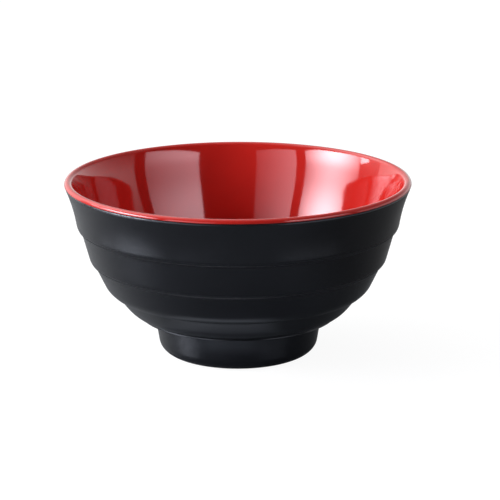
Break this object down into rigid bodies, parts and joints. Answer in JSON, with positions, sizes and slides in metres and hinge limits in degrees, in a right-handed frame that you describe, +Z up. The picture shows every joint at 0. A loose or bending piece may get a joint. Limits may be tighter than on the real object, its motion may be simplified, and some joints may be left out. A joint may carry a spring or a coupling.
{
  "type": "soup bowl",
  "caption": "Round melamine soup bowl: a black shell with lapped bands and a tapered foot ring, and a glossy red liner with a rounded lip.",
  "frame": {"origin": "centre of the foot ring's contact circle on the rest plane, which is the bottom centre of the whole bowl", "axes": "+Z up along the bowl's axis of turning; X and Y lie in the rest plane and are free, because the bowl is round"},
  "size_m": [0.15, 0.15, 0.0772],
  "materials": {
    "shell_black": "satin-matte black moulded melamine with faint rub marks",
    "liner_red": "glossy red moulded melamine under a clear glaze"
  },
  "bodies": {
    "root": {"outer_shell": "shell_black", "inner_liner": "liner_red"}
  },
  "joints": []
}
